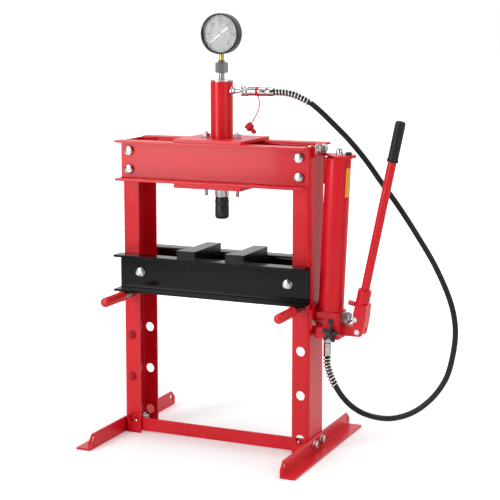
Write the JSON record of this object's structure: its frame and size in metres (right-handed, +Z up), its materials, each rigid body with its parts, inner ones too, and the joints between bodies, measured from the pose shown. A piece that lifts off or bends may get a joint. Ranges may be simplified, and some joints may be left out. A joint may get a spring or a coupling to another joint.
{
  "type": "hydraulic shop press",
  "caption": "Bolted H-frame shop press: hand-pumped hydraulic ram with pressure gauge above a height-adjustable channel bed on pins.",
  "frame": {"origin": "on the floor, under the middle of the footprint box of the press with its pump and handle, the hose left out", "axes": "+Z up, -Y towards the operator, +X towards the hand pump; the ram axis is at X = -0.0898 m"},
  "size_m": [0.8763, 0.458, 1.0575],
  "materials": {
    "red_paint": "gloss",
    "zinc": "satin",
    "chrome": "polished",
    "brass": "satin",
    "black_steel": "blackened",
    "black_paint": "semi-gloss",
    "cast_iron": "as cast",
    "dial_white": "matte",
    "hose_rubber": "matte",
    "red_plastic": "satin",
    "black_plastic": "matte"
  },
  "bodies": {
    "frame": {"coupler_nipple": "zinc", "cylinder_cap": "zinc", "dust_cap": "red_plastic", "foot_bolt_left_front": "zinc", "foot_bolt_left_rear": "zinc", "foot_bolt_right_front": "zinc", "foot_bolt_right_rear": "zinc", "front_head_beam": "red_paint", "fulcrum_pin": "zinc", "gauge_adapter": "chrome", "gauge_case": "black_paint", "gauge_dial": "dial_white", "gauge_socket": "brass", "head_bolt_left_lower": "zinc", "head_bolt_left_upper": "zinc", "head_bolt_right_lower": "zinc", "head_bolt_right_upper": "zinc", "hose_fitting": "zinc", "left_foot": "red_paint", "left_post": "red_paint", "lower_brace": "red_paint", "lower_mount_plate": "red_paint", "plate_stud_left": "zinc", "plate_stud_right": "zinc", "pressure_hose": "hose_rubber", "pump_base": "red_paint", "pump_bracket_bolt_front": "zinc", "pump_bracket_bolt_rear": "zinc", "pump_gland": "zinc", "pump_hose_ferrule": "zinc", "pump_lug_bolt_front": "zinc", "pump_lug_bolt_rear": "zinc", "pump_top_bracket": "red_paint", "ram_cylinder": "red_paint", "rear_head_beam": "red_paint", "reservoir": "red_paint", "return_spring": "black_steel", "right_foot": "red_paint", "right_post": "red_paint", "upper_mount_plate": "red_paint"},
    "ram": {"piston_rod": "chrome", "pressing_head": "black_steel"},
    "bed": {"bed_front_channel": "black_paint", "bed_rear_channel": "black_paint", "bed_bolt_left": "zinc", "bed_bolt_right": "zinc"},
    "pin_left": {"support_pin_left": "zinc"},
    "pin_right": {"support_pin_right": "zinc"},
    "arbor_left": {"arbor_plate_left": "cast_iron"},
    "arbor_right": {"arbor_plate_right": "cast_iron"},
    "pump_lever": {"handle_socket": "red_paint", "drive_pin": "zinc", "lock_screw": "red_paint"},
    "handle": {"handle_tube": "red_paint", "handle_grip": "hose_rubber"},
    "plunger": {"plunger": "chrome"},
    "knob": {"release_knob": "black_plastic"},
    "needle": {"gauge_needle": "dial_white"},
    "nut": {"coupler_nut": "zinc"},
    "vent": {"vent_cap": "zinc"}
  },
  "joints": [
    {"name": "ram_travel", "type": "slide", "parent": "frame", "child": "ram", "axis": [0, 0, -1], "range_m": [0, 0.15], "stiffness_N_per_m": 600, "springref_m": -0.1, "deforming": ["return_spring"]},
    {"name": "bed_lift", "type": "slide", "parent": "frame", "child": "bed", "axis": [0, 0, 1], "range_m": [0, 0.1]},
    {"name": "left_pin_pull", "type": "slide", "parent": "frame", "child": "pin_left", "axis": [0, -1, 0], "range_m": [0, 0.11]},
    {"name": "right_pin_pull", "type": "slide", "parent": "frame", "child": "pin_right", "axis": [0, -1, 0], "range_m": [0, 0.11]},
    {"name": "left_arbor_slide", "type": "slide", "parent": "bed", "child": "arbor_left", "axis": [-1, 0, 0], "range_m": [0, 0.1]},
    {"name": "right_arbor_slide", "type": "slide", "parent": "bed", "child": "arbor_right", "axis": [1, 0, 0], "range_m": [0, 0.1]},
    {"name": "pump_stroke", "type": "hinge", "parent": "frame", "child": "pump_lever", "pos_m": [0.27019, 0, 0.3072], "axis": [0, 1, 0], "range_deg": [-5, 35]},
    {"name": "plunger_travel", "type": "slide", "parent": "frame", "child": "plunger", "axis": [1, 0, 0], "range_m": [-0.004, 0.02]},
    {"name": "handle_pull", "type": "slide", "parent": "pump_lever", "child": "handle", "axis": [0.202, 0, 0.9794], "range_m": [0, 0.08]},
    {"name": "release_turn", "type": "hinge", "parent": "frame", "child": "knob", "pos_m": [0.21319, 0, 0.3045], "axis": [0, 1, 0], "range_deg": [0, 540]},
    {"name": "needle_swing", "type": "hinge", "parent": "frame", "child": "needle", "pos_m": [-0.08981, 0, 1.0085], "axis": [0, 1, 0], "range_deg": [0, 270], "stiffness_Nm_per_rad": 0.001, "springref_deg": -11.46},
    {"name": "coupling_nut_turn", "type": "hinge", "parent": "frame", "child": "nut", "pos_m": [-0.02981, 0, 0.871], "axis": [1, 0, 0], "continuous": true},
    {"name": "vent_turn", "type": "hinge", "parent": "frame", "child": "vent", "pos_m": [0.21619, 0, 0.73], "axis": [0, 0, 1], "range_deg": [0, 360]}
  ],
  "couplings": [
    {"joint": "plunger_travel", "follows": "pump_stroke", "m_per_rad": 0.0298}
  ]
}
